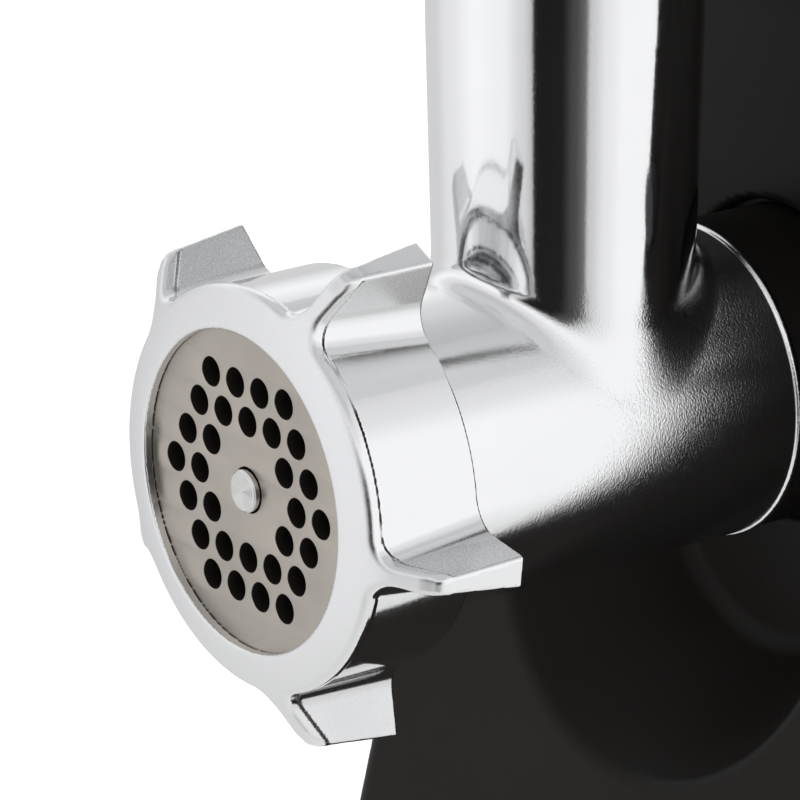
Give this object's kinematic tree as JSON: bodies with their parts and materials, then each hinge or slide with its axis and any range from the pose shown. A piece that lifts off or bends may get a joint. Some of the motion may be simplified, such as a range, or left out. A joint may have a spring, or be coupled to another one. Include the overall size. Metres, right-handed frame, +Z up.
{
  "type": "electric meat grinder",
  "caption": "Electric meat grinder: cast head with hopper tube, perforated cutting plate and winged ring nut on a black housing with motor and gear train.",
  "frame": {"origin": "on the floor, at the middle of the whole machine's footprint", "axes": "+Z up, +Y from the cutting plate back along the barrel into the housing, +X to the right seen from the front"},
  "size_m": [0.1798, 0.2552, 0.325],
  "materials": {
    "polished_casting": "polished cast aluminium",
    "brushed_steel": "fine brushed",
    "screw_metal": "cast, satin",
    "tray_metal": "satin",
    "black_plastic": "satin, fine texture",
    "button_plastic": "satin",
    "white_nylon": "moulded",
    "black_rubber": "matte",
    "gear_steel": "machined",
    "laminated_steel": "laminated",
    "copper_wire": "enamelled",
    "bronze": "sintered",
    "carbon": "matte",
    "zinc_plate": "zinc plated",
    "spring_steel": "drawn wire"
  },
  "bodies": {
    "housing": {"front_cover": "black_plastic", "rear_housing": "black_plastic", "base_plate": "black_plastic", "rubber_feet": "black_rubber", "base_screws": "zinc_plate", "cord_inlet_gland": "black_rubber", "socket_collar": "black_plastic", "collar_screws": "zinc_plate", "gearbox_cover": "white_nylon", "gearbox_case": "white_nylon", "case_screws": "zinc_plate", "output_bushes": "bronze", "second_gear_pin": "gear_steel", "first_gear_pin": "gear_steel", "motor_brackets": "gear_steel", "motor_bearings": "gear_steel", "motor_stator": "laminated_steel", "field_coils": "copper_wire", "stator_screws": "zinc_plate", "brush_holders": "bronze", "brush_board": "white_nylon", "carbon_brushes": "carbon", "brush_springs": "spring_steel", "switch_bezel": "black_plastic", "switch_bodies": "white_nylon", "reverse_spring": "spring_steel", "release_spring": "spring_steel"},
    "drive": {"output_shaft": "gear_steel", "output_gear": "gear_steel", "feed_screw": "screw_metal", "cross_knife": "brushed_steel", "screw_washer": "white_nylon"},
    "second_stage": {"second_gear": "gear_steel"},
    "first_stage": {"first_gear": "white_nylon"},
    "rotor": {"rotor_shaft": "gear_steel", "rotor_core": "laminated_steel", "rotor_windings": "copper_wire", "commutator": "copper_wire", "motor_pinion": "gear_steel", "cooling_fan": "white_nylon"},
    "head": {"head_casting": "polished_casting", "barrel_bush": "bronze"},
    "plate": {"cutting_plate": "brushed_steel"},
    "ring": {"ring_nut": "polished_casting"},
    "tray": {"hopper_tray": "tray_metal"},
    "pusher": {"food_pusher": "black_plastic", "pusher_cap": "black_plastic"},
    "rocker": {"power_rocker": "button_plastic"},
    "reverse": {"reverse_button": "button_plastic"},
    "release": {"release_button": "button_plastic"}
  },
  "joints": [
    {"name": "drive_spin", "type": "hinge", "parent": "housing", "child": "drive", "pos_m": [0, -0.1259, 0.15], "axis": [0, -1, 0], "continuous": true},
    {"name": "second_stage_spin", "type": "hinge", "parent": "housing", "child": "second_stage", "pos_m": [0.02478, 0.0041, 0.10977], "axis": [0, -1, 0], "continuous": true},
    {"name": "first_stage_spin", "type": "hinge", "parent": "housing", "child": "first_stage", "pos_m": [0.0288, 0.0141, 0.075], "axis": [0, -1, 0], "continuous": true},
    {"name": "rotor_spin", "type": "hinge", "parent": "housing", "child": "rotor", "pos_m": [0, 0.0641, 0.075], "axis": [0, -1, 0], "continuous": true},
    {"name": "head_twist", "type": "hinge", "parent": "housing", "child": "head", "pos_m": [0, -0.0399, 0.15], "axis": [0, 1, 0], "range_deg": [0, 40]},
    {"name": "plate_out", "type": "slide", "parent": "head", "child": "plate", "axis": [0, -1, 0], "range_m": [0, 0.0181]},
    {"name": "ring_turn", "type": "hinge", "parent": "plate", "child": "ring", "pos_m": [0, -0.1159, 0.15], "axis": [0, -1, 0], "range_deg": [0, 2160]},
    {"name": "tray_lift", "type": "slide", "parent": "head", "child": "tray", "axis": [0, 0, 1], "range_m": [0, 0.06]},
    {"name": "pusher_lift", "type": "slide", "parent": "tray", "child": "pusher", "axis": [0, 0, 1], "range_m": [0, 0.09]},
    {"name": "rocker_tilt", "type": "hinge", "parent": "housing", "child": "rocker", "pos_m": [0.0595, 0.0501, 0.168], "axis": [0, 1, 0], "range_deg": [-7, 7]},
    {"name": "reverse_press", "type": "slide", "parent": "housing", "child": "reverse", "axis": [-1, 0, 0], "range_m": [0, 0.003], "stiffness_N_per_m": 300, "deforming": ["reverse_spring"]},
    {"name": "release_press", "type": "slide", "parent": "housing", "child": "release", "axis": [0, 1, 0], "range_m": [0, 0.0035], "stiffness_N_per_m": 300, "deforming": ["release_spring"]}
  ],
  "couplings": [
    {"joint": "first_stage_spin", "follows": "rotor_spin", "ratio": -0.2},
    {"joint": "second_stage_spin", "follows": "rotor_spin", "ratio": 0.05},
    {"joint": "drive_spin", "follows": "rotor_spin", "ratio": -0.014286},
    {"joint": "plate_out", "follows": "ring_turn", "m_per_rad": 0.00047746}
  ]
}
